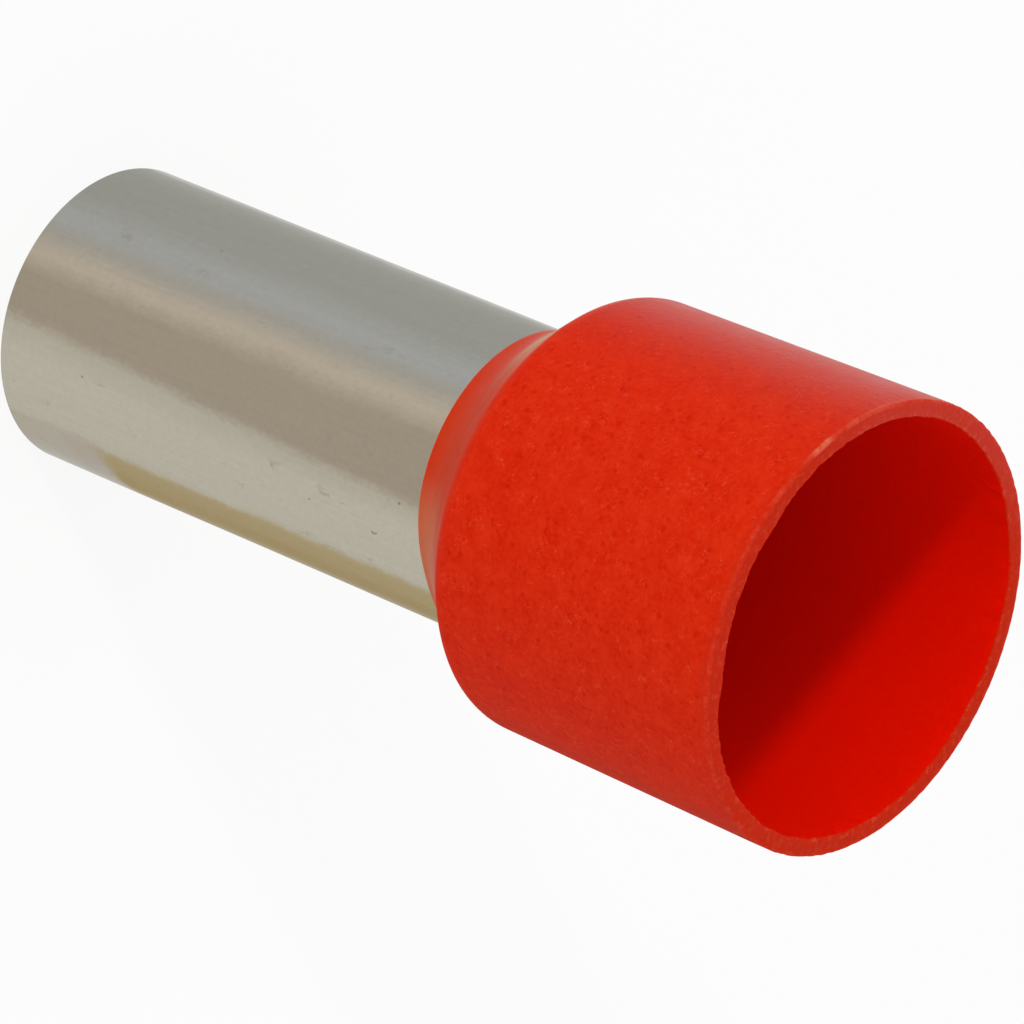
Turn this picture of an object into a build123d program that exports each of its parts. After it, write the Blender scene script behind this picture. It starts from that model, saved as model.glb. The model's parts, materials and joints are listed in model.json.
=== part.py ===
from build123d import *
import math
import os

# Insulated wire-end ferrule for a stranded conductor of 35 square millimetres.
# A thin metal sleeve takes the stripped conductor. A moulded collar, pressed on the sleeve's flared
# end, takes the end of the wire's insulation.
# The ferrule stands on the sleeve's cut end. The origin is the centre of that end, and +Z runs along
# the axis to the collar's mouth. Lengths are in millimetres and angles in degrees.

# Sleeve
CONDUCTOR_BORE = 8.3  # inside diameter of the sleeve
SLEEVE_WALL = 0.2
PIN_LENGTH = 16.0  # bare sleeve, from its cut end to the collar's neck
CUT_EDGE_ROUND = 0.04  # both edges of the cut end

# Collar, outside
NECK_LIP = 0.08  # wall at the very end of the neck
NECK_LENGTH = 0.65  # end of the neck to the foot of the cone
NECK_TAPER = 12.0  # slope of the neck's outside, which widens to the cone
NECK_BLEND = 2.0  # hollow rounding between the neck and the cone
CONE_LENGTH = 2.05  # foot of the cone to the shoulder
BARREL_LENGTH = 9.8  # shoulder to mouth
BARREL_DRAFT = 0.85  # slope of the barrel's outside, which widens to the mouth
SHOULDER_ROUND = 0.7
RIM_ROUND = 0.05  # both edges of the mouth's rim

# Collar, inside
INSULATION_ROOM = 1.73  # step in radius from the conductor's bore to the insulation's bore
RIM_WALL = 0.52  # wall of the barrel at the mouth
CONE_WALL = 0.45  # wall of the cone, square to its slope, over the sleeve's flare

# Flare of the sleeve and its seat in the collar
NECK_GRIP = 0.12  # straight tube inside the neck, before the flare begins
FUNNEL_LIP = 0.5  # step in radius from the flare's rim to the insulation's bore
SEAT_CLEARANCE = 0.02  # all round between the sleeve and the collar

# Radii
conductor_radius = CONDUCTOR_BORE / 2
sleeve_radius = conductor_radius + SLEEVE_WALL
insulation_radius = conductor_radius + INSULATION_ROOM
flare_radius = insulation_radius - FUNNEL_LIP
mouth_radius = insulation_radius + RIM_WALL
shoulder_radius = mouth_radius - BARREL_LENGTH * math.tan(math.radians(BARREL_DRAFT))
seat_radius = sleeve_radius + SEAT_CLEARANCE
neck_radius = seat_radius + NECK_LIP
foot_radius = neck_radius + NECK_LENGTH * math.tan(math.radians(NECK_TAPER))

# Heights, and the cone's slope to the axis
foot_z = PIN_LENGTH + NECK_LENGTH
shoulder_z = foot_z + CONE_LENGTH
mouth_z = shoulder_z + BARREL_LENGTH
slope = math.atan2(shoulder_radius - foot_radius, CONE_LENGTH)

# Depths inside the cone's outer surface, square to it
seat_depth = CONE_WALL
flare_depth = seat_depth + SEAT_CLEARANCE
funnel_depth = flare_depth + SLEEVE_WALL


def height_at(radius, depth):
    """Height where the surface that runs depth inside the cone's outside has this radius."""
    rise = radius - foot_radius + depth / math.cos(slope)
    return foot_z + rise / math.tan(slope)


def flare_point(along, outwards):
    """Point (radius, height) set off from the inner edge of the flare's rim, along and square to the slope."""
    radius = flare_radius + along * math.sin(slope) + outwards * math.cos(slope)
    height = height_at(flare_radius, funnel_depth) + along * math.cos(slope) - outwards * math.sin(slope)
    return (radius, height)


def turned(corners):
    """Solid turned about Z from a closed outline of corners, each (radius, height) and its rounding."""
    points = [point for point, _ in corners]
    rounds = [rounding for _, rounding in corners]
    outline = FilletPolyline(*points, radius=rounds, close=True)
    return revolve(Plane.XZ * make_face(outline), Axis.Z)


# The flare's bend starts at the end of the grip and runs tangent into the slope. The three surfaces
# that follow it, the tube's two and the seat, bend about one centre.
bend_corner = (sleeve_radius, height_at(sleeve_radius, flare_depth))
flare_bend = (bend_corner[1] - PIN_LENGTH - NECK_GRIP) / math.tan(slope / 2)


def make_sleeve():
    """Straight thin tube that opens into a flare inside the collar."""
    corners = [
        ((conductor_radius, 0), CUT_EDGE_ROUND),
        ((sleeve_radius, 0), CUT_EDGE_ROUND),
        (bend_corner, flare_bend),
        (flare_point(0, SLEEVE_WALL), 0),
        (flare_point(0, 0), 0),
        ((conductor_radius, height_at(conductor_radius, funnel_depth)), flare_bend + SLEEVE_WALL),
    ]
    return turned(corners)


def make_collar():
    """Moulded collar: neck, cone and drafted barrel outside, flare seat, funnel and straight bore inside."""
    corners = [
        ((seat_radius, PIN_LENGTH), 0),
        ((neck_radius, PIN_LENGTH), 0),
        ((foot_radius, foot_z), NECK_BLEND),
        ((shoulder_radius, shoulder_z), SHOULDER_ROUND),
        ((mouth_radius, mouth_z), RIM_ROUND),
        ((insulation_radius, mouth_z), RIM_ROUND),
        ((insulation_radius, height_at(insulation_radius, funnel_depth)), 0),
        (flare_point(SEAT_CLEARANCE, 0), 0),
        (flare_point(SEAT_CLEARANCE, SLEEVE_WALL + SEAT_CLEARANCE), 0),
        ((seat_radius, height_at(seat_radius, seat_depth)), flare_bend - SEAT_CLEARANCE),
    ]
    return turned(corners)


os.makedirs("parts", exist_ok=True)
export_step(make_sleeve(), "parts/sleeve.step")
export_step(make_collar(), "parts/collar.step")
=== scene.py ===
"""Finished look of an insulated wire-end ferrule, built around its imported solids.

The tinned sleeve and the red collar are turned again as fine meshes, with the small unevenness of the
real pieces, and get procedural finishes. They stand on a pale studio floor under soft light.
The pieces are sized in millimetres and become metres when a mesh is finished.
"""

import json
import logging
import math
from abc import ABC, abstractmethod
from collections.abc import Iterable, Sequence
from dataclasses import dataclass
from enum import Enum
from functools import reduce

import bmesh
import bpy
from mathutils import Matrix, Vector, noise


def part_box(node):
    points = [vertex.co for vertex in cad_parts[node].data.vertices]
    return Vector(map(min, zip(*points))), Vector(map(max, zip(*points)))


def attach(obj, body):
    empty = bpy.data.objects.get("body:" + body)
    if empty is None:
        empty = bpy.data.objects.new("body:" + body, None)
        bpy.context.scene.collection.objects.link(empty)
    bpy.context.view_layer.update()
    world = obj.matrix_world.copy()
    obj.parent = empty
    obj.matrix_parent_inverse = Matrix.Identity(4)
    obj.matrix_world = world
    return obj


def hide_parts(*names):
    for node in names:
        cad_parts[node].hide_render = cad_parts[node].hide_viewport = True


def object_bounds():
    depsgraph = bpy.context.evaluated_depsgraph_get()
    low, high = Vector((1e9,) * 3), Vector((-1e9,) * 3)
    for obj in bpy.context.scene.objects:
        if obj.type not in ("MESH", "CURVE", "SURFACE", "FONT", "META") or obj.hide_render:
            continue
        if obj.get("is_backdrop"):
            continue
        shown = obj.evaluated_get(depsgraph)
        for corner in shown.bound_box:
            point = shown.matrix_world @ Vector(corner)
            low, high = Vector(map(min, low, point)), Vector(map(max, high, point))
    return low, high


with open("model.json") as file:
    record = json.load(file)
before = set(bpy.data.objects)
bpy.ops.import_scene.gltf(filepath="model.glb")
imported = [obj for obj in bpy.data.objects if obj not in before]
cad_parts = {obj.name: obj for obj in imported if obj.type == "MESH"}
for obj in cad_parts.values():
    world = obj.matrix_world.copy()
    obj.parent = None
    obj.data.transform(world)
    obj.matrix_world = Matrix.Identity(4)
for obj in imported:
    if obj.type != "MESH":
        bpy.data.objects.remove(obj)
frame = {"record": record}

LOG = logging.getLogger("ferrule")

MM = 0.001  # metres in a millimetre
WELD = 1e-5  # vertices nearer than this are one, in millimetres
RING_REACH = 1e-3  # vertices this near to a corner of the outline are on its ring, in millimetres
DOT_CORE = 0.4  # share of a dot's radius that is solid
CAD_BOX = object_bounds()

Tone = tuple[float, float, float]
Ends = tuple[float, float]  # two ends of a range or of a fade
Socket = bpy.types.NodeSocket
Inputs = dict[int | str, object]  # sockets or constants, by the input's name or place

WHITE: Tone = (1.0, 1.0, 1.0)


class Piece(Enum):
    """CAD nodes that a finer mesh stands for."""

    SLEEVE = "sleeve"
    COLLAR = "collar"


class Slot(Enum):
    """Material slots of the record."""

    TINNED_COPPER = "tinned_copper"
    RED_PLASTIC = "red_plastic"


class Blend(Enum):
    """Ways of mixing two colours that the finishes use."""

    PLAIN = "MIX"
    MULTIPLY = "MULTIPLY"


def smooth_step(value: float) -> float:
    """Ease a value from 0 to 1, flat at both ends."""
    held = min(max(value, 0.0), 1.0)
    return held * held * (3.0 - 2.0 * held)


def linear(red: int, green: int, blue: int) -> Tone:
    """Turn a screen colour, each value from 0 to 255, into the linear tone that a shader takes."""
    shares = (red / 255.0, green / 255.0, blue / 255.0)
    return tuple(share / 12.92 if share <= 0.04045 else ((share + 0.055) / 1.055) ** 2.4 for share in shares)


class Graph:
    """Node tree of a material or a world, with short calls for the nodes that the finishes share."""

    def __init__(self, owner: bpy.types.Material | bpy.types.World) -> None:
        """Start the node tree.

        Args:
            owner: A material, which starts with a bare Principled shader, or a world.
        """
        owner.use_nodes = True
        self.owner = owner
        self.tree = owner.node_tree

    @property
    def shader(self) -> bpy.types.Node:
        """Principled shader of a material."""
        return self.tree.nodes["Principled BSDF"]

    def feed(self, node: bpy.types.Node, inputs: Inputs) -> None:
        """Link inputs of a node to other sockets, or set them to constants.

        Args:
            node: Node to feed.
            inputs: What each input gets: an output socket, number, vector or colour.
        """
        for name, value in inputs.items():
            socket = node.inputs[name]
            if isinstance(value, Socket):
                self.tree.links.new(value, socket)
            elif socket.type == "RGBA" and len(value) == 3:
                socket.default_value = (*value, 1.0)
            else:
                socket.default_value = value

    def shade(self, inputs: Inputs) -> bpy.types.Material:
        """Feed the shader of a material, and give the material back."""
        self.feed(self.shader, inputs)
        return self.owner

    def add(self, kind: str, inputs: Inputs | None = None, **settings: object) -> bpy.types.Node:
        """Add a node.

        Args:
            kind: Node type.
            inputs: What its inputs get.
            settings: Properties to set on the node.

        Returns:
            The new node.
        """
        node = self.tree.nodes.new(kind)
        for name, value in settings.items():
            setattr(node, name, value)
        self.feed(node, inputs or {})
        return node

    def millimetres(self) -> Socket:
        """Object coordinates in millimetres."""
        metres = self.add("ShaderNodeTexCoord").outputs["Object"]
        return self.stretch(metres, (1.0 / MM, 1.0 / MM, 1.0 / MM))

    def stretch(self, vector: Socket, scale: Tone) -> Socket:
        """Coordinates scaled along each axis."""
        return self.add("ShaderNodeMapping", {"Vector": vector, "Scale": scale}).outputs["Vector"]

    def parts(self, vector: Socket) -> tuple[Socket, Socket, Socket]:
        """The three numbers of a vector."""
        return tuple(self.add("ShaderNodeSeparateXYZ", {0: vector}).outputs)

    def math(self, operation: str, *values: object) -> Socket:
        """Result of a Math node on sockets or numbers."""
        return self.add("ShaderNodeMath", dict(enumerate(values)), operation=operation).outputs[0]

    def times(self, *values: object) -> Socket:
        """Product of sockets or numbers, multiplied in order."""
        return reduce(lambda product, value: self.math("MULTIPLY", product, value), values)

    def ease(self, value: Socket, start: float, end: float) -> Socket:
        """Smooth 0 to 1 as a value goes from start to end."""
        inputs = {"Value": value, "From Min": start, "From Max": end}
        return self.add("ShaderNodeMapRange", inputs, interpolation_type="SMOOTHSTEP").outputs["Result"]

    def fade(self, value: Socket, level: float, ends: Ends) -> Socket:
        """Smooth 0 to 1 as a value passes a level, between two offsets from it."""
        return self.ease(value, level + ends[0], level + ends[1])

    def span(self, value: Socket, low: float, high: float) -> Socket:
        """Carry a value from 0..1 to low..high."""
        inputs = {"Value": value, "To Min": low, "To Max": high}
        return self.add("ShaderNodeMapRange", inputs).outputs["Result"]

    def grazing(self) -> Socket:
        """Share that rises from 0 where the surface is seen square on to 1 where it is seen edge on."""
        return self.add("ShaderNodeLayerWeight").outputs["Facing"]

    def grey(self, value: Socket) -> Socket:
        """Grey colour of a value."""
        return self.add("ShaderNodeCombineColor", {0: value, 1: value, 2: value}).outputs[0]

    def cloud(self, vector: Socket, scale: float, detail: float = 2.0, rough: float = 0.5) -> Socket:
        """Noise from 0 to 1: its lumps to the unit, octaves of finer lumps and their share."""
        inputs = {"Vector": vector, "Scale": scale, "Detail": detail, "Roughness": rough}
        return self.add("ShaderNodeTexNoise", inputs).outputs["Fac"]

    def warp(self, vector: Socket, scale: float, reach: float) -> Socket:
        """Coordinates that stray from true, so that what they place gets an irregular shape.

        Args:
            vector: True coordinates.
            scale: Strays to the unit.
            reach: How far they stray.

        Returns:
            The strayed coordinates.
        """
        lumps = self.add("ShaderNodeTexNoise", {"Vector": vector, "Scale": scale}).outputs["Color"]
        inputs = {0: lumps, 1: (reach, reach, reach), 2: vector}
        return self.add("ShaderNodeVectorMath", inputs, operation="MULTIPLY_ADD").outputs["Vector"]

    def dots(self, vector: Socket, scale: float, size: float, share: float) -> Socket:
        """Sparse round dots, 1 in a dot and 0 elsewhere.

        Args:
            vector: Coordinates.
            scale: Cells to the unit, each with one dot at most.
            size: Radius of a dot as a share of its cell.
            share: Share of the cells that hold a dot.

        Returns:
            The mask of the dots.
        """
        cells = self.add("ShaderNodeTexVoronoi", {"Vector": vector, "Scale": scale}, feature="F1").outputs
        near = self.ease(cells["Distance"], size, size * DOT_CORE)
        chance = self.add("ShaderNodeSeparateColor", {0: cells["Color"]}).outputs[0]
        return self.times(near, self.math("LESS_THAN", chance, share))

    def mix(self, share: object, first: object, second: object, blend: Blend = Blend.PLAIN) -> Socket:
        """Colour between two.

        Args:
            share: Share of the second colour.
            first: Colour at a share of 0.
            second: Colour at a share of 1.
            blend: How the second colour is laid on.

        Returns:
            The mixed colour.
        """
        inputs = {"Factor": share, "A": first, "B": second}
        node = self.add("ShaderNodeMix", inputs, data_type="RGBA", blend_type=blend.value)
        return next(output for output in node.outputs if output.type == "RGBA")

    def ramp(self, share: Socket, stops: Sequence[tuple[float, Tone]]) -> Socket:
        """Colour ramp.

        Args:
            share: Place on the ramp, from 0 to 1.
            stops: Place and tone of each stop, in order.

        Returns:
            The colour.
        """
        node = self.add("ShaderNodeValToRGB", {"Fac": share})
        elements = node.color_ramp.elements
        for element, (place, tone) in zip(elements, (stops[0], stops[-1])):
            element.position = place
            element.color = (*tone, 1.0)
        for place, tone in stops[1:-1]:
            elements.new(place).color = (*tone, 1.0)
        return node.outputs["Color"]

    def bump(self, height: Socket, depth: float, strength: object, normal: Socket | None = None) -> Socket:
        """Normal bent by a height.

        Args:
            height: Height from 0 to 1.
            depth: Depth of the relief in millimetres.
            strength: Share of the relief that shows.
            normal: Normal that it is laid on.

        Returns:
            The bent normal.
        """
        inputs = {"Distance": depth * MM, "Strength": strength, "Height": height}
        if normal is not None:
            inputs["Normal"] = normal
        return self.add("ShaderNodeBump", inputs).outputs["Normal"]


@dataclass(frozen=True)
class ReflectionBand:
    """Painted reflection: tone of the sleeve at an azimuth in degrees, which runs evenly into the next
    band's.
    """

    azimuth: float
    tone: Tone


@dataclass(frozen=True)
class Stray:
    """Noise that the bands' edges stray by: lumps to the millimetre on each axis, octaves, shares."""

    lumps: Tone
    detail: float
    rough: float  # share of the finer octaves
    share: float  # of the whole stray


@dataclass(frozen=True)
class TinnedCopper:
    """Satin tin plating on a drawn tube: lengthwise bands of painted reflection, fine drawing lines and a few
    pits.
    """

    name: str = "tinned_copper_satin"
    # Tones of the painted reflection bands round the sleeve
    cool_grey: Tone = linear(151, 151, 143)
    blue_grey: Tone = linear(160, 160, 156)
    beige: Tone = linear(180, 168, 149)
    brown: Tone = linear(157, 145, 128)
    pale: Tone = linear(184, 179, 163)
    dull_pale: Tone = linear(176, 170, 154)
    ochre: Tone = linear(173, 159, 128)
    dark_ochre: Tone = linear(160, 141, 98)
    faint_ochre: Tone = linear(176, 167, 146)  # painted reflection: tone of the ochre band where it is seen square on
    mauve_grey: Tone = linear(174, 165, 151)
    warm_grey: Tone = linear(159, 155, 144)
    light_grey: Tone = linear(200, 200, 197)
    pit: Tone = linear(104, 100, 88)
    smudge: Tone = linear(146, 140, 126)
    edge_tint: Tone = (0.77, 0.76, 0.73)  # tone of the plating where it is seen at a grazing angle
    # Gloss tint on the ochre band, darker and yellower to go with its painted reflection
    ochre_edge_tint: Tone = (0.68, 0.61, 0.47)
    roughness: Ends = (0.2, 0.3)
    back: float = -270.0  # azimuth at the back of the tube, where the bands start and end
    bands: tuple[ReflectionBand, ...] = (
        ReflectionBand(back, brown),
        ReflectionBand(-252.0, brown),
        ReflectionBand(-246.0, pale),
        ReflectionBand(-222.0, pale),
        ReflectionBand(-205.0, beige),
        ReflectionBand(-190.0, blue_grey),
        ReflectionBand(-173.0, light_grey),
        ReflectionBand(-166.5, cool_grey),
        ReflectionBand(-132.0, cool_grey),
        ReflectionBand(-121.0, blue_grey),
        ReflectionBand(-117.0, blue_grey),
        ReflectionBand(-111.0, warm_grey),
        ReflectionBand(-102.0, beige),
        ReflectionBand(-93.0, brown),
        ReflectionBand(-75.0, brown),
        ReflectionBand(-70.5, dull_pale),
        ReflectionBand(-60.0, pale),
        ReflectionBand(-35.0, pale),
        ReflectionBand(-32.0, ochre),
        ReflectionBand(-24.0, ochre),
        ReflectionBand(-13.0, dark_ochre),
        ReflectionBand(-2.0, dark_ochre),
        ReflectionBand(10.0, cool_grey),
        ReflectionBand(34.0, cool_grey),
        ReflectionBand(48.0, beige),
        ReflectionBand(70.0, pale),
        ReflectionBand(90.0, brown),
    )
    strays: tuple[Stray, ...] = (
        Stray((0.25, 0.25, 0.22), 2.0, 0.5, 1.0),
        Stray((1.8, 1.8, 1.1), 3.0, 0.65, 0.7),
        Stray((7.0, 7.0, 4.5), 3.0, 0.65, 0.85),
    )
    wander: float = 2.4  # how far a band's edge strays, in degrees
    level_wander: float = 0.5  # how far the ochre band's end strays, in millimetres
    slant: float = 0.55  # turn of the brown band's lower edge along the tube, in degrees to the millimetre
    slant_level: float = 6.0  # height where that edge is at its own azimuth
    slant_turn: float = 18.0  # that azimuth, from the front of the tube
    slant_fade: Ends = (16.0, 7.0)  # degrees away from it over which the slant comes in
    ochre_start: Ends = (0.645, 0.66)  # shares of the way round over which the ochre band comes in
    ochre_end: Ends = (0.82, 0.76)  # shares of the way round over which it is gone again
    ochre_fade: Ends = (4.1, 3.3)  # heights over which the ochre band turns mauve
    mauve_fade: Ends = (2.8, 1.8)  # heights over which the mauve pales to the cut end
    square_on: Ends = (0.62, 0.35)  # grazing shares over which the ochre band turns faint
    faintness: float = 0.9
    drawing: Tone = (9.0, 9.0, 0.12)  # drawing lines to the millimetre on each axis
    drawing_contrast: Ends = (0.9, 1.1)
    mottle_contrast: Ends = (0.88, 1.12)
    smudge_lumps: Tone = (1.0, 1.0, 0.6)
    smudge_fade: Ends = (0.62, 0.74)  # noise values over which a smudge comes in
    smudge_strength: float = 0.55
    pit_strength: float = 0.6

    def material(self) -> bpy.types.Material:
        """Build the material.

        Returns:
            The tinned copper.
        """
        graph = Graph(bpy.data.materials.new(self.name))
        place = graph.millimetres()
        across, along, height = graph.parts(place)
        clouds = []
        stray = 0.0
        for kind in self.strays:
            cloud = graph.cloud(graph.stretch(place, kind.lumps), 1.0, kind.detail, kind.rough)
            stray = graph.math("ADD", stray, graph.span(cloud, -kind.share, kind.share))
            clouds.append(cloud)
        slow, quick = clouds[:2]
        turn = graph.math("ARCTAN2", across, graph.times(along, -1.0))
        strayed = graph.math("MULTIPLY_ADD", stray, math.radians(self.wander), turn)
        strayed = graph.math("SUBTRACT", strayed, self.slanting(graph, turn, height))
        share = graph.math("MULTIPLY_ADD", strayed, 1.0 / math.tau, 0.5)
        # Painted reflection: lengthwise bands of tone by azimuth, their edges strayed and slanted
        stops = [((band.azimuth - self.back) / 360.0, band.tone) for band in self.bands]
        colour = graph.ramp(share, stops)

        # The ochre band is a painted reflection: faint where seen square on, mauve towards the cut end
        level = graph.math("MULTIPLY_ADD", stray, self.level_wander, height)
        side = graph.times(graph.ease(share, *self.ochre_start), graph.ease(share, *self.ochre_end))
        faint = graph.times(graph.ease(graph.grazing(), *self.square_on), side, self.faintness)
        colour = graph.mix(faint, colour, self.faint_ochre)
        paling = graph.times(graph.ease(level, *self.ochre_fade), side)
        ended = graph.mix(graph.ease(level, *self.mauve_fade), self.mauve_grey, self.dull_pale)
        colour = graph.mix(paling, colour, ended)
        ochreous = graph.math("SUBTRACT", side, paling)

        lines = graph.cloud(graph.stretch(place, self.drawing), scale=1.0, detail=3.0, rough=0.6)
        mottle = graph.cloud(place, scale=6.0, detail=3.0)
        for pattern, contrast in ((lines, self.drawing_contrast), (mottle, self.mottle_contrast)):
            grey = graph.grey(graph.span(pattern, *contrast))
            colour = graph.mix(0.5, colour, grey, Blend.MULTIPLY)
        bent = graph.warp(place, scale=3.0, reach=0.35)
        smears = graph.cloud(graph.stretch(bent, self.smudge_lumps), scale=1.5, detail=4.0, rough=0.7)
        smudges = graph.ease(smears, *self.smudge_fade)
        colour = graph.mix(graph.times(smudges, self.smudge_strength), colour, self.smudge)
        pits = graph.dots(bent, scale=1.1, size=0.085, share=0.34)
        colour = graph.mix(graph.times(pits, self.pit_strength), colour, self.pit)

        ripple = graph.bump(slow, depth=0.03, strength=0.35)
        drawn = graph.bump(lines, depth=0.004, strength=0.35, normal=ripple)
        return graph.shade({
            "Base Color": colour,
            "Metallic": 1.0,
            "Specular Tint": graph.mix(ochreous, self.edge_tint, self.ochre_edge_tint),
            "Roughness": graph.span(quick, *self.roughness),
            "Normal": graph.bump(mottle, depth=0.003, strength=0.3, normal=drawn),
        })

    def slanting(self, graph: Graph, turn: Socket, height: Socket) -> Socket:
        """Turn of the brown band's lower edge, which runs askew along the tube.

        Args:
            graph: Node tree of the material.
            turn: Azimuth from the front of the tube, in radians.
            height: Height on the axis.

        Returns:
            The turn in radians, nothing away from that edge.
        """
        away = graph.math("ABSOLUTE", graph.math("SUBTRACT", turn, math.radians(self.slant_turn)))
        near = graph.ease(away, *(math.radians(end) for end in self.slant_fade))
        above = graph.math("SUBTRACT", height, self.slant_level)
        return graph.times(above, math.radians(self.slant), near)


@dataclass(frozen=True)
class PalePlace:
    """Pale place on an edge of the collar: its azimuth and half its length in degrees, and its strength."""

    azimuth: float
    reach: float
    strength: float


@dataclass(frozen=True)
class Zones:
    """Coordinates, masks and noises on the collar that its colour, gloss and relief share."""

    place: Socket
    radius: Socket
    height: Socket
    leftward: Socket  # 1 at -X and -1 at +X
    outside: Socket
    barrel: Socket
    bore: Socket
    rim: Socket
    grain: Socket
    blotch: Socket


@dataclass(frozen=True)
class RedPlastic:
    """Moulded red plastic: matt spark grain on the barrel, satin cone with a painted pale sheen, torn rim.

    Lengths are in millimetres. The ends of a fade are offsets from the height or radius that it is laid on.
    """

    cone_foot: float
    cone_top: float
    mouth: float
    wall_middle: float
    rim_radius: float
    name: str = "red_plastic_grained"
    red: Tone = (0.595, 0.0145, 0.0005)
    deep_red: Tone = (0.515, 0.0075, 0.0)
    light_red: Tone = (0.66, 0.036, 0.009)
    cone_red: Tone = (0.515, 0.031, 0.003)
    cone_sheen: Tone = (0.45, 0.21, 0.1)  # painted sheen: tone of the satin cone where it is seen at a grazing angle
    neck_reflection_red: Tone = (0.5, 0.13, 0.05)
    painted_side_shade: Tone = (0.85, 1.0, 1.0)  # painted shade: what the barrel's colour is multiplied by on its two sides
    speck: Tone = (0.43, 0.005, 0.0)
    streak: Tone = (0.72, 0.085, 0.04)
    rim_red: Tone = (0.51, 0.018, 0.004)
    rim_fleck: Tone = (0.58, 0.06, 0.024)
    bore_red: Tone = (0.8, 0.0065, 0.0)
    dull_bore_red: Tone = (0.775, 0.005, 0.0)
    # Pale tone of the scuff and of the painted highlight on the rim's outer edge
    scuff_and_highlight_tone: Tone = (0.64, 0.19, 0.11)
    barrel_roughness: float = 0.8
    rubbed_roughness: float = 0.38  # on the side that is rubbed smoother, towards -X
    neck_roughness: float = 0.5
    satin_roughness: float = 0.42
    rough_patches: float = 0.12  # how far the roughness strays in patches
    rough_grain: float = 0.06  # how far it rises with the grain
    specular: float = 0.2
    gloss_tint: Tone = (1.0, 0.15, 0.03)  # tone of the gloss where it is seen square on
    translucency: float = 0.35
    bleed: Tone = (1.0, 0.15, 0.08)  # how far each colour of light carries, as a share of the depth
    bleed_depth: float = 0.4
    grain_depth: float = 0.02
    grain_strength: Ends = (0.14, 0.6)  # on the satin cone and on the barrel
    lump: Ends = (0.3, 0.7)  # noise values over which a lump goes from dark to light
    fine_share: float = 0.35
    broad_share: float = 0.26
    fleck_strength: Ends = (0.5, 1.0)  # of the specks and threads, off and on the barrel
    speck_strength: float = 0.45
    thread_strength: float = 0.4
    thread_width: Ends = (0.022, 0.004)
    thread_patches: Ends = (0.5, 0.62)
    wall_fade: Ends = (-0.02, 0.02)
    barrel_fade: Ends = (-0.1, 0.2)
    grain_fade: Ends = (-0.5, -0.1)
    funnel_fade: Ends = (0.5, 0.3)
    cone_fade: Ends = (0.1, -0.7)
    cone_patches: Ends = (0.55, 1.0)
    neck_reflection_fade: Ends = (-0.7, -1.4)
    sheen_fade: Ends = (0.25, -0.35)
    sheen_patches: Ends = (0.75, 1.2)
    sheen_side: Ends = (-0.7, 0.2)  # from right to left, as the other sides are; the painted sheen is stronger towards -X
    sheen_angle: Ends = (0.81, 0.99)  # grazing shares over which the sheen comes in
    satin_fade: Ends = (-0.3, 0.4)
    left_side: Ends = (0.6, 0.97)
    right_side: Ends = (-0.9, -1.0)
    rubbed_side: Ends = (0.5, 0.97)
    rim_fade: Ends = (-0.06, -0.04)
    soft_rim_fade: Ends = (-0.42, -0.08)
    soft_rim_stray: float = 0.25
    soft_rim_strength: float = 0.75
    fleck_fade: Ends = (-0.3, -0.5)
    scuff_height: Ends = (-0.15, -0.07)
    scuff_radius: Ends = (-0.14, -0.06)
    edge_highlight_strength: float = 0.12  # of the faint painted highlight all round the rim's outer edge
    # A real scuff at -128, and a broad painted highlight along the edge at -146
    scuffs: tuple[PalePlace, ...] = (PalePlace(-128.0, 4.5, 0.7), PalePlace(-146.0, 14.0, 0.25))
    neck_reflection: PalePlace = PalePlace(-50.0, 34.0, 0.85)  # painted pale reflection low on the cone and the neck, towards +X

    def material(self) -> bpy.types.Material:
        """Build the material.

        Returns:
            The red plastic.
        """
        graph = Graph(bpy.data.materials.new(self.name))
        zones = self.zones(graph)
        funnel = graph.fade(zones.height, self.cone_top, self.funnel_fade)
        skin = graph.math("MAXIMUM", zones.outside, funnel)
        coarse = graph.times(skin, graph.fade(zones.height, self.cone_top, self.grain_fade))
        coarse = graph.math("MAXIMUM", coarse, zones.rim)
        return graph.shade({
            "Base Color": self.coloured(graph, zones),
            "Specular IOR Level": self.specular,
            "Specular Tint": self.gloss_tint,
            "Subsurface Weight": self.translucency,
            "Subsurface Radius": self.bleed,
            "Subsurface Scale": self.bleed_depth * MM,
            "Roughness": self.roughened(graph, zones, coarse),
            "Normal": graph.bump(zones.grain, self.grain_depth, graph.span(coarse, *self.grain_strength)),
        })

    def zones(self, graph: Graph) -> Zones:
        """Lay out the collar.

        Args:
            graph: Node tree of the material.

        Returns:
            What the colour, the gloss and the relief share.
        """
        place = graph.millimetres()
        across, along, height = graph.parts(place)
        radius = graph.math("SQRT", graph.math("MULTIPLY_ADD", across, across, graph.times(along, along)))
        outside = graph.fade(radius, self.wall_middle, self.wall_fade)
        above = graph.fade(height, self.cone_top, self.barrel_fade)
        return Zones(
            place=place,
            radius=radius,
            height=height,
            leftward=graph.math("DIVIDE", graph.times(across, -1.0), radius),
            outside=outside,
            barrel=graph.times(outside, above),
            bore=graph.times(graph.math("SUBTRACT", 1.0, outside), above),
            rim=graph.fade(height, self.mouth, self.rim_fade),
            grain=graph.cloud(place, scale=6.5, rough=0.6),
            blotch=graph.cloud(place, scale=1.7, detail=4.0, rough=0.6),
        )

    def coloured(self, graph: Graph, zones: Zones) -> Socket:
        """Colour of the whole collar, one zone laid on the other.

        Args:
            graph: Node tree of the material.
            zones: Layout of the collar.

        Returns:
            The colour.
        """
        colour = self.grained(graph, zones)
        inside = graph.mix(graph.ease(zones.grain, *self.lump), self.dull_bore_red, self.bore_red)
        colour = graph.mix(zones.bore, colour, inside)
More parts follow.
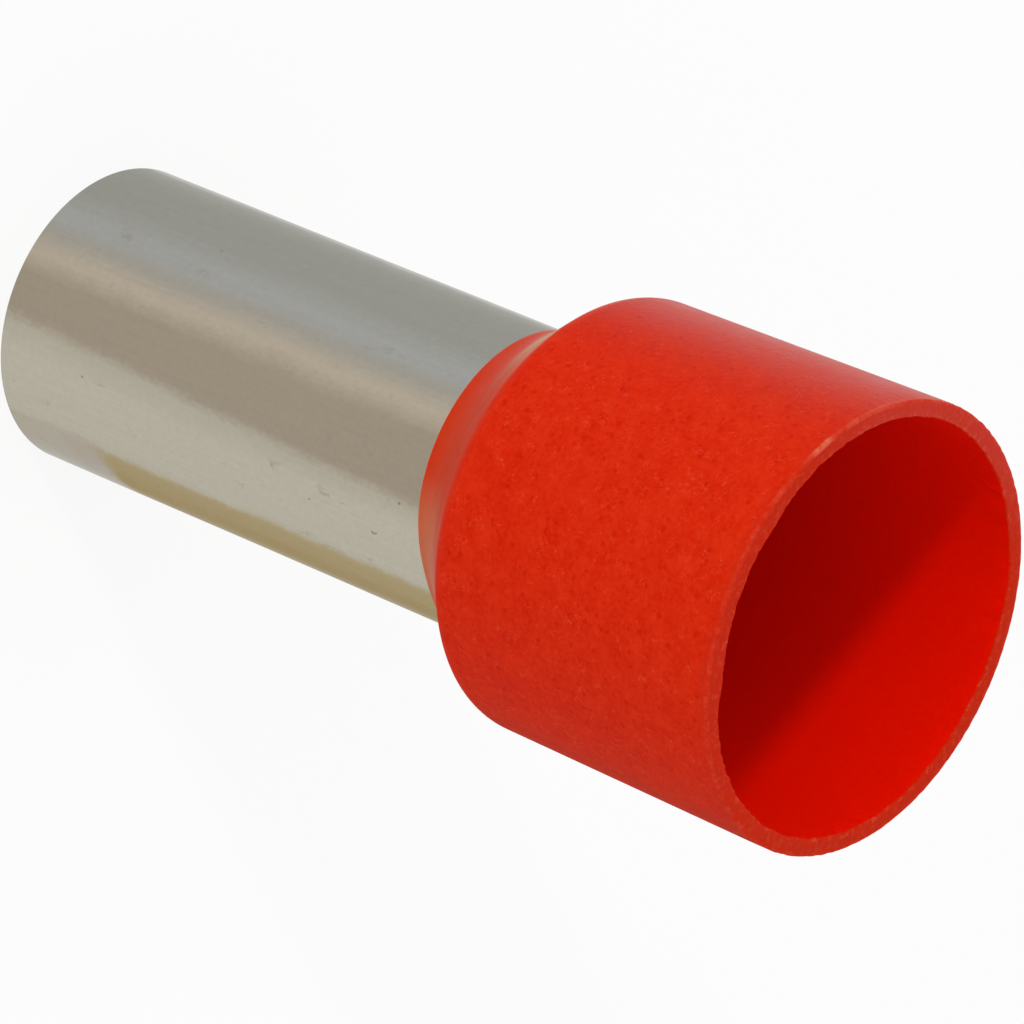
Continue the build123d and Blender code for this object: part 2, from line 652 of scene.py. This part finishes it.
        # Painted shade on the barrel's two flanks, towards -X and at the +X edge
        left, right = (graph.ease(zones.leftward, *side) for side in (self.left_side, self.right_side))
        side_shade_share = graph.times(zones.barrel, graph.math("MAXIMUM", left, right))
        colour = graph.mix(side_shade_share, colour, self.painted_side_shade, Blend.MULTIPLY)

        stray = graph.span(zones.blotch, -self.soft_rim_stray, self.soft_rim_stray)
        nearing = graph.fade(graph.math("ADD", zones.height, stray), self.mouth, self.soft_rim_fade)
        soft = graph.times(zones.outside, nearing, self.soft_rim_strength)
        colour = graph.mix(graph.math("MAXIMUM", zones.rim, soft), colour, self.torn_rim(graph, zones))

        low = graph.fade(zones.height, self.cone_top, self.cone_fade)
        patchy = graph.times(low, graph.span(zones.blotch, *self.cone_patches))
        colour = graph.mix(patchy, colour, self.cone_red)
        uneven = graph.span(zones.blotch, *self.sheen_patches)
        # Painted pale reflection low on the cone and the neck, towards +X
        lowest = graph.fade(zones.height, self.cone_top, self.neck_reflection_fade)
        drawn = graph.times(self.near(graph, zones, self.neck_reflection), lowest, uneven)
        colour = graph.mix(drawn, colour, self.neck_reflection_red)
        # Painted sheen on the satin cone where it is seen at a grazing angle, mostly towards -X
        satiny = graph.fade(zones.height, self.cone_top, self.sheen_fade)
        edge_on = graph.ease(graph.grazing(), *self.sheen_angle)
        sheen = graph.times(satiny, graph.ease(zones.leftward, *self.sheen_side), edge_on, uneven)
        colour = graph.mix(sheen, colour, self.cone_sheen)
        return graph.mix(self.scuff_and_highlight_mask(graph, zones), colour, self.scuff_and_highlight_tone)

    def roughened(self, graph: Graph, zones: Zones, coarse: Socket) -> Socket:
        """Roughness: matt where the grain is coarse, satin elsewhere.

        Args:
            graph: Node tree of the material.
            zones: Layout of the collar.
            coarse: Mask of the coarse grain.

        Returns:
            The roughness.
        """
        side = graph.ease(zones.leftward, *self.rubbed_side)
        matt = graph.span(side, self.barrel_roughness, self.rubbed_roughness)
        risen = graph.fade(zones.height, self.cone_foot, self.satin_fade)
        satin = graph.span(risen, self.neck_roughness, self.satin_roughness)
        rough = graph.math("MULTIPLY_ADD", graph.math("SUBTRACT", matt, satin), coarse, satin)
        patchy = graph.math("ADD", rough, graph.span(zones.blotch, -self.rough_patches, self.rough_patches))
        return graph.math("MULTIPLY_ADD", zones.grain, self.rough_grain, patchy)

    def grained(self, graph: Graph, zones: Zones) -> Socket:
        """Red of the outside: fine grain, soft blotches, and dark specks and pale threads on the barrel.

        Args:
            graph: Node tree of the material.
            zones: Layout of the collar.

        Returns:
            The colour.
        """
        strength = graph.span(zones.barrel, *self.fleck_strength)
        fine = graph.mix(graph.ease(zones.grain, *self.lump), self.deep_red, self.light_red)
        broad = graph.mix(graph.ease(zones.blotch, *self.lump), self.deep_red, self.light_red)
        colour = graph.mix(self.fine_share, self.red, fine)
        colour = graph.mix(self.broad_share, colour, broad)
        bent = graph.warp(zones.place, scale=7.0, reach=0.22)
        specks = graph.dots(bent, scale=3.3, size=0.36, share=0.5)
        colour = graph.mix(graph.times(specks, self.speck_strength, strength), colour, self.speck)
        aside = graph.math("ABSOLUTE", graph.math("SUBTRACT", graph.cloud(bent, scale=4.0), 0.5))
        patch = graph.ease(graph.cloud(zones.place, scale=2.7), *self.thread_patches)
        threads = graph.times(graph.ease(aside, *self.thread_width), patch, self.thread_strength)
        return graph.mix(graph.times(threads, strength), colour, self.streak)

    def torn_rim(self, graph: Graph, zones: Zones) -> Socket:
        """Red of the cut rim: uneven, with pale flecks that crowd at the bore's edge.

        Args:
            graph: Node tree of the material.
            zones: Layout of the collar.

        Returns:
            The colour.
        """
        uneven = graph.mix(graph.ease(zones.grain, start=0.35, end=0.65), self.rim_red, self.red)
        colour = graph.mix(0.6, uneven, self.rim_red)
        crowd = graph.fade(zones.radius, self.rim_radius, self.fleck_fade)
        flecks = graph.ease(graph.cloud(zones.place, scale=5.5, rough=0.7), start=0.5, end=0.68)
        share = graph.times(flecks, graph.span(crowd, low=0.35, high=0.8))
        return graph.mix(share, colour, self.rim_fleck)

    def scuff_and_highlight_mask(self, graph: Graph, zones: Zones) -> Socket:
        """Mask of the scuff and the painted highlight along the rim's outer edge.

        Args:
            graph: Node tree of the material.
            zones: Layout of the collar.

        Returns:
            Share of the pale tone of the scuff and the painted highlight.
        """
        edge = graph.times(graph.fade(zones.radius, self.rim_radius, self.scuff_radius),
                           graph.fade(zones.height, self.mouth, self.scuff_height))
        # Faint painted highlight all round the outer edge, then the scuff and the broad painted highlight
        worn = graph.ease(graph.cloud(zones.place, scale=3.1, detail=3.0, rough=0.65), start=0.4, end=0.7)
        mask = graph.times(worn, self.edge_highlight_strength)
        ragged = graph.ease(graph.cloud(zones.place, scale=2.6, detail=3.0, rough=0.6), start=0.3, end=0.6)
        for scuff in self.scuffs:
            mask = graph.math("MAXIMUM", mask, graph.times(self.near(graph, zones, scuff), ragged))
        return graph.times(mask, edge)

    @staticmethod
    def near(graph: Graph, zones: Zones, pale: PalePlace) -> Socket:
        """Mask round a pale place's azimuth.

        Args:
            graph: Node tree of the material.
            zones: Layout of the collar.
            pale: The place.

        Returns:
            Its strength at its azimuth, and less towards its ends.
        """
        across, along, _ = graph.parts(zones.place)
        turn = math.radians(pale.azimuth)
        aside = graph.times(along, math.sin(turn))
        facing = graph.math("MULTIPLY_ADD", across, math.cos(turn), aside)
        share = graph.math("DIVIDE", facing, zones.radius)
        return graph.span(graph.ease(share, math.cos(math.radians(pale.reach)), 1.0), 0.0, pale.strength)


@dataclass(frozen=True)
class Corner:
    """Corner of a turned outline: radius, height and rounding in millimetres, and facets of the rounding."""

    radius: float
    height: float
    rounding: float = 0.0
    facets: int = 5


@dataclass
class FerruleForm:
    """Driving sizes that the sleeve and the collar share, in millimetres and degrees."""

    conductor_radius: float
    sleeve_radius: float
    insulation_radius: float
    neck_height: float
    mouth_height: float
    cut_edge_round: float = 0.04
    neck_lip: float = 0.08
    neck_length: float = 0.65
    neck_taper: float = 12.0
    neck_blend: float = 2.0
    cone_length: float = 2.05
    barrel_draft: float = 0.85
    shoulder_round: float = 0.7
    rim_round: float = 0.05
    rim_wall: float = 0.52
    cone_wall: float = 0.45
    neck_grip: float = 0.12
    funnel_lip: float = 0.5
    seat_clearance: float = 0.02

    def __post_init__(self) -> None:
        """Work out the sizes that follow from the driving ones."""
        self.sleeve_wall = self.sleeve_radius - self.conductor_radius
        self.seat_radius = self.sleeve_radius + self.seat_clearance  # bore of the collar's neck
        self.neck_radius = self.seat_radius + self.neck_lip  # outside of the neck at its very end
        self.mouth_radius = self.insulation_radius + self.rim_wall  # outside of the barrel at its mouth
        self.foot_radius = self.neck_radius + self.neck_length * math.tan(math.radians(self.neck_taper))
        self.foot_height = self.neck_height + self.neck_length  # where the neck meets the cone
        self.shoulder_height = self.foot_height + self.cone_length  # where the cone meets the barrel
        barrel_length = self.mouth_height - self.shoulder_height
        self.shoulder_radius = self.mouth_radius - barrel_length * math.tan(math.radians(self.barrel_draft))
        self.slope = math.atan2(self.shoulder_radius - self.foot_radius, self.cone_length)  # in radians
        # Depths below the cone's surface, square to it, of the flare's outside and its inside
        self.flare_depth = self.cone_wall + self.seat_clearance
        self.funnel_depth = self.flare_depth + self.sleeve_wall
        self.flare_radius = self.insulation_radius - self.funnel_lip  # inside of the flare at its rim
        # Radius of the bend from the tube into the flare, on the tube's outside
        bend_height = self.height_at(self.sleeve_radius, self.flare_depth)
        self.flare_bend = (bend_height - self.neck_height - self.neck_grip) / math.tan(self.slope / 2.0)

    @classmethod
    def from_frame(cls) -> "FerruleForm":
        """Take the bores, the pin and the collar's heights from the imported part.

        Returns:
            The form of this ferrule.
        """
        sizes = {mount["name"]: mount["dims"] for mount in frame["record"]["mounts"]}
        low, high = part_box(Piece.COLLAR.value)
        return cls(
            conductor_radius=sizes["conductor_bore"]["r_mm"],
            sleeve_radius=sizes["pin"]["r_mm"],
            insulation_radius=sizes["insulation_bore"]["r_mm"],
            neck_height=low.z / MM,
            mouth_height=high.z / MM,
        )

    def height_at(self, radius: float, depth: float) -> float:
        """Height where the surface that runs depth inside the cone's outside has this radius."""
        rise = radius - self.foot_radius + depth / math.cos(self.slope)
        return self.foot_height + rise / math.tan(self.slope)

    def skin_radius(self, height: float) -> float:
        """Outside of the neck and the cone at a height, without the hollow rounding between them."""
        if height < self.foot_height:
            return self.neck_radius + (height - self.neck_height) * math.tan(math.radians(self.neck_taper))
        return self.foot_radius + (height - self.foot_height) * math.tan(self.slope)

    def flare_point(self, along: float, outwards: float) -> tuple[float, float]:
        """Point set off from the inner edge of the flare's rim.

        Args:
            along: Distance up the slope.
            outwards: Distance square to the slope, away from the axis.

        Returns:
            Radius and height of the point.
        """
        sine, cosine = math.sin(self.slope), math.cos(self.slope)
        radius = self.flare_radius + along * sine + outwards * cosine
        height = self.height_at(self.flare_radius, self.funnel_depth) + along * cosine - outwards * sine
        return radius, height


@dataclass
class TurnedPiece(ABC):
    """Piece turned about the part's axis from a closed outline of corners."""

    form: FerruleForm
    piece: Piece
    slot: Slot
    steps: int = 576  # facets round the axis
    row_pitch: float = 0.5  # spacing of the rings that the long walls are cut into
    crease: float = 14.0  # edges sharper than this stay sharp, in degrees

    @abstractmethod
    def outline(self) -> list[Corner]:
        """Corners of the closed outline, in order."""

    @abstractmethod
    def wear(self, mesh: bmesh.types.BMesh) -> None:
        """Give the true turning the small unevenness of the real piece."""

    @abstractmethod
    def material(self) -> bpy.types.Material:
        """Finish of the piece."""

    def turn(self) -> bmesh.types.BMesh:
        """Spin the outline into a closed shell and round its corners.

        Returns:
            The turned mesh, in millimetres.
        """
        corners = self.outline()
        mesh = bmesh.new()
        points = [mesh.verts.new((corner.radius, 0.0, corner.height)) for corner in corners]
        sides = [mesh.edges.new(pair) for pair in zip(points, points[1:] + points[:1])]
        bmesh.ops.spin(mesh, geom=points + sides, cent=(0.0, 0.0, 0.0), axis=(0.0, 0.0, 1.0),
                       angle=math.tau, steps=self.steps, use_merge=True)
        bmesh.ops.remove_doubles(mesh, verts=mesh.verts, dist=WELD)
        bmesh.ops.recalc_face_normals(mesh, faces=mesh.faces)
        neighbours = zip(corners[-1:] + corners[:-1], corners, corners[1:] + corners[:1])
        for before, corner, after in list(neighbours):
            if corner.rounding > 0.0:
                self.round_ring(mesh, before, corner, after)
        return mesh

    def round_ring(self, mesh: bmesh.types.BMesh, before: Corner, corner: Corner, after: Corner) -> None:
        """Round one ring of edges.

        Args:
            mesh: Turned mesh.
            before: Corner before it on the outline.
            corner: Corner to round.
            after: Corner after it on the outline.
        """
        inward = Vector((corner.radius - before.radius, corner.height - before.height))
        outward = Vector((after.radius - corner.radius, after.height - corner.height))
        reach = corner.rounding * math.tan(inward.angle(outward) / 2.0)
        ring = [edge for edge in mesh.edges if all(self.lies_on(vert, corner) for vert in edge.verts)]
        bmesh.ops.bevel(mesh, geom=ring, offset=reach, offset_type="OFFSET", affect="EDGES",
                        segments=corner.facets, profile=0.5, material=-1, clamp_overlap=False)

    @staticmethod
    def lies_on(vert: bmesh.types.BMVert, corner: Corner) -> bool:
        """Whether a vertex is on the ring of a corner."""
        aside = abs(math.hypot(vert.co.x, vert.co.y) - corner.radius)
        return aside < RING_REACH and abs(vert.co.z - corner.height) < RING_REACH

    def cut_rows(self, mesh: bmesh.types.BMesh, heights: Iterable[float]) -> None:
        """Cut the walls into rings at the given heights."""
        for height in heights:
            everything = mesh.verts[:] + mesh.edges[:] + mesh.faces[:]
            bmesh.ops.bisect_plane(mesh, geom=everything, dist=WELD,
                                   plane_co=(0.0, 0.0, height), plane_no=(0.0, 0.0, 1.0))

    def rows(self) -> list[float]:
        """Heights of the rings along the piece."""
        heights = sorted(corner.height for corner in self.outline())
        count = int((heights[-1] - heights[0]) / self.row_pitch)
        return [heights[0] + self.row_pitch * (index + 0.5) for index in range(count)]

    def build(self) -> bpy.types.Object:
        """Make and dress the piece, and put it in the scene in place of its CAD node.

        Returns:
            The finished object.
        """
        mesh = self.turn()
        self.cut_rows(mesh, self.rows())
        self.wear(mesh)
        bmesh.ops.scale(mesh, vec=(MM, MM, MM), verts=mesh.verts)
        data = bpy.data.meshes.new(self.piece.value + "_fine")
        mesh.to_mesh(data)
        mesh.free()
        data.shade_smooth()
        data.set_sharp_from_angle(angle=math.radians(self.crease))
        data.materials.append(self.material())
        item = bpy.data.objects.new(self.piece.value + "_fine", data)
        bpy.context.scene.collection.objects.link(item)
        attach(item, "root")
        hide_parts(self.piece.value)
        return item


@dataclass
class Sleeve(TurnedPiece):
    """Thin tinned tube, straight from its cut end, that opens into a flare inside the collar."""

    piece: Piece = Piece.SLEEVE
    slot: Slot = Slot.TINNED_COPPER
    ripple: float = 0.006  # how far the drawn wall strays from true, in millimetres
    ripple_lumps: Tone = (0.5, 0.5, 0.18)  # lumps of the ripple to the millimetre on each axis
    ripple_ends: Ends = (1.5, 1.0)  # stretches at the cut end and below the neck where it dies out
    finish: TinnedCopper = TinnedCopper()

    def outline(self) -> list[Corner]:
        """Tube with two rounded cut edges, and a flare that bends about one centre.

        Returns:
            Corners of the wall's section.
        """
        form = self.form
        wall = form.sleeve_wall
        outer_bend = form.height_at(form.sleeve_radius, form.flare_depth)
        inner_bend = form.height_at(form.conductor_radius, form.funnel_depth)
        return [
            Corner(form.conductor_radius, 0.0, form.cut_edge_round, facets=3),
            Corner(form.sleeve_radius, 0.0, form.cut_edge_round, facets=3),
            Corner(form.sleeve_radius, outer_bend, form.flare_bend, facets=10),
            Corner(*form.flare_point(0.0, wall)),
            Corner(*form.flare_point(0.0, 0.0)),
            Corner(form.conductor_radius, inner_bend, form.flare_bend + wall, facets=10),
        ]

    def wear(self, mesh: bmesh.types.BMesh) -> None:
        """Let the drawn wall ripple a little between its cut end and the neck."""
        lower, upper = self.ripple_ends
        for vert in mesh.verts:
            below_neck = self.form.neck_height - vert.co.z
            share = smooth_step(vert.co.z / lower) * smooth_step(below_neck / upper)
            flat = Vector((vert.co.x, vert.co.y, 0.0))
            place = Vector([ordinate * lumps for ordinate, lumps in zip(vert.co, self.ripple_lumps)])
            vert.co += flat.normalized() * (self.ripple * share * noise.noise(place))

    def material(self) -> bpy.types.Material:
        """Tinned copper."""
        return self.finish.material()


@dataclass(frozen=True)
class Swell:
    """Place where an edge strays from a true ring: azimuth and half width in degrees, rise in millimetres."""

    azimuth: float
    width: float
    rise: float

    def at(self, azimuth: float) -> float:
        """Rise at an azimuth in degrees."""
        away = (azimuth - self.azimuth + 180.0) % 360.0 - 180.0
        return self.rise * math.exp(-((away / self.width) ** 2))


@dataclass(frozen=True)
class RimNoise:
    """Noise that an edge of the rim strays by: lumps to the radian, its own offset, and share."""

    lumps: float
    offset: float
    share: float

    def at(self, towards: Vector) -> float:
        """Stray in one direction from the axis."""
        return self.share * noise.noise(towards * self.lumps + Vector((0.0, 0.0, self.offset)))


@dataclass
class Collar(TurnedPiece):
    """Moulded collar: neck, cone and drafted barrel outside, flare seat, funnel and straight bore inside."""

    piece: Piece = Piece.COLLAR
    slot: Slot = Slot.RED_PLASTIC
    neck_rise: float = 0.15  # how far the neck's edge is drawn up, on the whole
    neck_tilt: float = 0.2  # how much further it is drawn up towards +X, and less towards -X
    neck_swell: Swell = Swell(-38.0, 22.0, 0.2)
    seat_follow: float = 0.9  # height over which the seat follows the neck's edge
    skin_depth: float = 0.05  # what lies less deep than this under the outside moves with it
    rim_raggedness: float = 0.07  # how far the rim's inner edge strays
    rim_noises: tuple[RimNoise, ...] = (
        RimNoise(11.0, 0.0, 0.5),
        RimNoise(37.0, 9.0, 0.5),
        RimNoise(63.0, 4.0, 0.4),
    )
    rim_depth: float = 0.14  # depth below the rim over which it strays
    rim_reach: float = 1.5  # how far the rim's rounded edges are taken to reach, in their roundings
    edge_raggedness: float = 0.02  # how far the rim's outer edge is worn inwards
    edge_noise: RimNoise = RimNoise(31.0, 0.0, 1.0)
    bore_swells: tuple[Swell, ...] = (
        Swell(-155.0, 30.0, 0.03),
        Swell(-105.0, 7.0, -0.07),
        Swell(-78.0, 16.0, -0.045),
        Swell(-63.0, 7.0, -0.11),
        Swell(-40.0, 22.0, 0.03),
        Swell(115.0, 9.0, 0.06),
    )
    bore_depth: float = 3.0  # depth below the rim over which the bore swells
    bore_start: float = 1.0  # height above the shoulder where the straight bore is clear of the funnel

    def outline(self) -> list[Corner]:
        """Thin wall outside the sleeve's flare.

        Returns:
            Corners of the wall's section.
        """
        form = self.form
        gap = form.seat_clearance
        funnel_top = form.height_at(form.insulation_radius, form.funnel_depth)
        seat_bend = form.height_at(form.seat_radius, form.cone_wall)
        return [
            Corner(form.seat_radius, form.neck_height),
            Corner(form.neck_radius, form.neck_height),
            Corner(form.foot_radius, form.foot_height, form.neck_blend, facets=8),
            Corner(form.shoulder_radius, form.shoulder_height, form.shoulder_round, facets=8),
            Corner(form.mouth_radius, form.mouth_height, form.rim_round),
            Corner(form.insulation_radius, form.mouth_height, form.rim_round),
            Corner(form.insulation_radius, funnel_top),
            Corner(*form.flare_point(gap, 0.0)),
            Corner(*form.flare_point(gap, form.sleeve_wall + gap)),
            Corner(form.seat_radius, seat_bend, form.flare_bend - gap, facets=10),
        ]

    def wear(self, mesh: bmesh.types.BMesh) -> None:
        """Let the neck's edge run out of square, and the two edges of the rim be a little ragged."""
        for vert in mesh.verts:
            self.lift_neck(vert)
            self.fray_rim(vert)

    def lift_neck(self, vert: bmesh.types.BMVert) -> None:
        """Raise or lower the neck's edge, the outside up to the shoulder and the seat inside."""
        form = self.form
        above = vert.co.z - form.neck_height
        outside = math.hypot(vert.co.x, vert.co.y) > form.skin_radius(vert.co.z) - self.skin_depth
        reach = form.shoulder_height - form.neck_height if outside else self.seat_follow
        azimuth = math.degrees(math.atan2(vert.co.y, vert.co.x))
        tilt = self.neck_tilt * math.cos(math.radians(azimuth))
        rise = self.neck_rise + tilt + self.neck_swell.at(azimuth)
        vert.co.z += rise * max(0.0, 1.0 - above / reach)

    def fray_rim(self, vert: bmesh.types.BMVert) -> None:
        """Let the bore's edge at the mouth stray from a true circle, and wear the rim's outer edge."""
        form = self.form
        if vert.co.z < form.shoulder_height + self.bore_start:
            return
        below = form.mouth_height - vert.co.z
        edge = self.rim_reach * form.rim_round
        flat = Vector((vert.co.x, vert.co.y, 0.0)).normalized()
        if math.hypot(vert.co.x, vert.co.y) > form.insulation_radius + edge:
            if below < edge:
                vert.co -= flat * (self.edge_raggedness * (0.5 + self.edge_noise.at(flat)))
            return
        azimuth = math.degrees(math.atan2(vert.co.y, vert.co.x))
        swell = sum(swell.at(azimuth) for swell in self.bore_swells)
        swell *= 1.0 - smooth_step(below / self.bore_depth)
        ragged = sum(kind.at(flat) for kind in self.rim_noises)
        share = 1.0 - smooth_step(below / self.rim_depth)
        vert.co += flat * (swell + self.rim_raggedness * share * ragged)

    def material(self) -> bpy.types.Material:
        """Red plastic, with the zones of this collar."""
        form = self.form
        finish = RedPlastic(
            cone_foot=form.foot_height,
            cone_top=form.shoulder_height,
            mouth=form.mouth_height,
            wall_middle=(form.insulation_radius + form.shoulder_radius) / 2.0,
            rim_radius=form.mouth_radius,
        )
        return finish.material()


@dataclass(frozen=True)
class SoftBox:
    """Square soft lamp aimed at the part, placed by azimuth and elevation in degrees, in metres and watts."""

    name: str
    azimuth: float
    elevation: float
    distance: float
    width: float
    power: float
    aim: Vector

    def build(self) -> bpy.types.Object:
        """Hang the lamp.

        Returns:
            The lamp.
        """
        data = bpy.data.lights.new(self.name, "AREA")
        data.shape = "SQUARE"
        data.size = self.width
        data.energy = self.power
        lamp = bpy.data.objects.new(self.name, data)
        level = math.cos(math.radians(self.elevation))
        towards = Vector((
            level * math.cos(math.radians(self.azimuth)),
            level * math.sin(math.radians(self.azimuth)),
            math.sin(math.radians(self.elevation)),
        ))
        lamp.location = self.aim + towards * self.distance
        lamp.rotation_euler = towards.to_track_quat("Z", "Y").to_euler()
        lamp.visible_camera = False
        bpy.context.scene.collection.objects.link(lamp)
        return lamp


@dataclass(frozen=True)
class PhotoCamera:
    """Long lens turned on its side, aimed near the neck, in metres, degrees and millimetres of lens."""

    aim: Vector = Vector((0.000765, 0.0, 0.016055))
    distance: float = 0.23767
    elevation: float = 37.5
    roll: float = 112.74
    lens: float = 305.3
    sensor: float = 36.0

    def build(self) -> bpy.types.Object:
        """Set up the camera.

        Returns:
            The camera.
        """
        data = bpy.data.cameras.new("photo_camera")
        data.lens = self.lens
        data.sensor_width = self.sensor
        data.clip_start = MM
        camera = bpy.data.objects.new("photo_camera", data)
        tilt = Matrix.Rotation(math.radians(90.0 - self.elevation), 4, "X")
        roll = Matrix.Rotation(math.radians(self.roll), 4, "Z")
        back_off = Matrix.Translation((0.0, 0.0, self.distance))
        camera.matrix_world = Matrix.Translation(self.aim) @ tilt @ roll @ back_off
        bpy.context.scene.collection.objects.link(camera)
        bpy.context.scene.camera = camera
        return camera


@dataclass
class Studio:
    """Pale floor, white surroundings, one soft key lamp and the camera."""

    form: FerruleForm
    floor_half: float = 2.0  # half the floor's width, in metres
    floor_tone: Tone = (0.93, 0.93, 0.93)
    floor_roughness: float = 0.9
    floor_glow: float = 0.85
    surround: float = 0.84
    key_power: float = 0.46

    @staticmethod
    def seen(graph: Graph) -> Socket:
        """Mask of the rays that show the background: straight, mirrored and passed through.

        Args:
            graph: Node tree to add the mask to.

        Returns:
            1 for such rays and 0 for the rest.
        """
        path = graph.add("ShaderNodeLightPath").outputs
        reflected = graph.math("MAXIMUM", path["Is Camera Ray"], path["Is Glossy Ray"])
        return graph.math("MAXIMUM", reflected, path["Is Transmission Ray"])

    def build_world(self) -> None:
        """Light the part evenly from all round, and show white where the background is seen."""
        graph = Graph(bpy.data.worlds.new("studio"))
        graph.tree.nodes.clear()
        light, shown = (
            graph.add("ShaderNodeBackground", {"Color": WHITE, "Strength": strength}).outputs[0]
            for strength in (self.surround, 1.0)
        )
        mixed = graph.add("ShaderNodeMixShader", {"Fac": self.seen(graph), 1: light, 2: shown})
        graph.add("ShaderNodeOutputWorld", {"Surface": mixed.outputs[0]})
        bpy.context.scene.world = graph.owner

    def build_floor(self) -> bpy.types.Object:
        """Lay the floor under the cut end.

        Returns:
            The floor.
        """
        mesh = bmesh.new()
        bmesh.ops.create_grid(mesh, x_segments=1, y_segments=1, size=self.floor_half)
        data = bpy.data.meshes.new("floor")
        mesh.to_mesh(data)
        mesh.free()
        data.materials.append(self.floor_material())
        floor = bpy.data.objects.new("floor", data)
        bpy.context.scene.collection.objects.link(floor)
        floor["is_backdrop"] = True
        return floor

    def floor_material(self) -> bpy.types.Material:
        """Matt white that keeps the part's shadow, lifted towards white where it is seen.

        Returns:
            The floor's material.
        """
        graph = Graph(bpy.data.materials.new("studio_floor"))
        share = graph.times(self.seen(graph), self.floor_glow)
        matt = graph.shader.outputs["BSDF"]
        glow = graph.add("ShaderNodeEmission").outputs["Emission"]
        mixed = graph.add("ShaderNodeMixShader", {"Fac": share, 1: matt, 2: glow})
        graph.feed(graph.tree.nodes["Material Output"], {"Surface": mixed.outputs[0]})
        return graph.shade({
            "Base Color": self.floor_tone,
            "Roughness": self.floor_roughness,
            "Specular IOR Level": 0.0,
        })

    def build(self) -> None:
        """Set up the whole studio."""
        bpy.context.scene.view_settings.view_transform = "Standard"
        self.build_world()
        self.build_floor()
        middle = Vector((0.0, 0.0, self.form.mouth_height / 2.0)) * MM
        key = SoftBox("key_lamp", azimuth=-118.0, elevation=23.0, distance=0.4, width=0.035,
                      power=self.key_power, aim=middle)
        key.build()
        PhotoCamera().build()


def write_sizes() -> None:
    """Put the CAD box and the dressed part's box side by side, as plain numbers."""
    boxes = {"cad": CAD_BOX, "visual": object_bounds()}
    plain = {name: [[float(number) for number in corner] for corner in box] for name, box in boxes.items()}


def main() -> None:
    """Build the studio and both pieces in order, and report each."""
    logging.basicConfig(level=logging.INFO, format="%(message)s")
    form = FerruleForm.from_frame()
    Studio(form).build()
    LOG.info("studio set up")
    for piece in (Sleeve(form), Collar(form)):
        item = piece.build()
        LOG.info("%s: %d faces", item.name, len(item.data.polygons))
    write_sizes()


if __name__ == "__main__":
    main()
